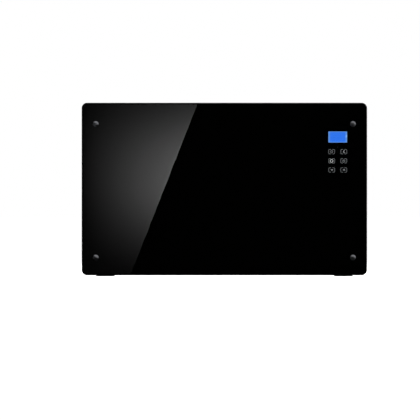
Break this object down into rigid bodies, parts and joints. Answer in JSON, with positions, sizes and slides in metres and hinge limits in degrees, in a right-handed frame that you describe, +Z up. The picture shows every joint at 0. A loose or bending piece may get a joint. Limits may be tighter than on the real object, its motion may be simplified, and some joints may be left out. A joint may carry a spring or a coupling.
{
  "type": "infrared panel heater",
  "caption": "Flat room heater with a black glass front on corner pillars, a display and touch keys, a shallow louvred steel casing behind it and two flat feet.",
  "frame": {"origin": "on the floor, below the middle of the part's width and depth", "axes": "+X to the right seen from the front, +Y from the glass to the back, +Z up"},
  "size_m": [0.8, 0.2, 0.486],
  "materials": {
    "clear_glass": "toughened float glass, ground edges",
    "black_print": "fired black ceramic print behind the glass",
    "dark_chrome": "polished dark chrome plate",
    "black_nylon": "moulded nylon, fine matt",
    "black_rubber": "moulded rubber",
    "black_powder": "black powder coat, fine texture",
    "zinc_steel": "bright zinc plate",
    "black_zinc": "black zinc plated screws",
    "carbon_film": "carbon heating film",
    "copper": "bare copper strip",
    "mica": "pressed mica sheet",
    "aluminium": "mill-finish aluminium",
    "mineral_wool": "needled ceramic fibre blanket",
    "display_glass": "bonded display glasses",
    "blue_light": "edge-lit light guide, blue",
    "green_board": "fibreglass board, green resist",
    "grey_foam": "conducting foam",
    "moulded_black": "moulded thermoplastic, fine texture",
    "fish_paper": "insulating paper",
    "brass": "bright brass",
    "grey_plastic": "moulded grey plastic",
    "iron_core": "stacked iron laminations",
    "fuse_glass": "small glass tube",
    "red_wire": "silicone wire"
  },
  "bodies": {
    "heater": {"front_glass": "clear_glass", "glass_print": "black_print", "glass_caps": "dark_chrome", "glass_bushes": "black_nylon", "cable_gland": "black_nylon", "gland_cap": "black_nylon", "gland_nut": "black_nylon", "probe_clip": "black_nylon", "rear_washers": "black_rubber", "lead_grommets": "black_rubber", "gland_seal": "black_rubber", "foot_pads": "black_rubber", "display_cable": "black_rubber", "temperature_probe": "black_rubber", "rear_cover": "black_powder", "foot_left": "black_powder", "foot_right": "black_powder", "standoff_pillars": "zinc_steel", "pillar_nuts": "zinc_steel", "chassis_plate": "zinc_steel", "hanger_plates": "zinc_steel", "foot_nut_plates": "zinc_steel", "cutout_straps": "zinc_steel", "earth_stud": "zinc_steel", "board_screws": "zinc_steel", "cover_screws": "black_zinc", "foot_screws": "black_zinc", "heating_film": "carbon_film", "busbars": "copper", "mica_sheet": "mica", "reflector_plate": "aluminium", "edge_frame": "aluminium", "capacitor": "aluminium", "thermal_cutouts": "aluminium", "insulation_blanket": "mineral_wool", "display_module": "display_glass", "display_backlight": "blue_light", "control_board": "green_board", "power_board": "green_board", "touch_pads": "grey_foam", "control_tray": "moulded_black", "infrared_receiver": "moulded_black", "relays": "moulded_black", "buzzer": "moulded_black", "tilt_microswitch": "moulded_black", "switch_housing": "moulded_black", "insulating_sheet": "fish_paper", "board_standoffs": "brass", "fuse_clips": "brass", "switch_blades": "brass", "tilt_pin": "brass", "terminal_block": "grey_plastic", "board_sockets": "grey_plastic", "tilt_bracket": "grey_plastic", "transformer": "iron_core", "fuse": "fuse_glass", "power_leads": "red_wire"},
    "switch_rocker": {"switch_rocker": "moulded_black"},
    "tilt_weight": {"tilt_weight": "brass"}
  },
  "joints": [
    {"name": "mains_rocker", "type": "hinge", "parent": "heater", "child": "switch_rocker", "pos_m": [0.375, 0.0005, 0.1793], "axis": [0, 1, 0], "range_deg": [0, 20]},
    {"name": "tip_over_swing", "type": "hinge", "parent": "heater", "child": "tilt_weight", "pos_m": [-0.15, 0.006, 0.2043], "axis": [1, 0, 0], "range_deg": [-25, 25]}
  ]
}
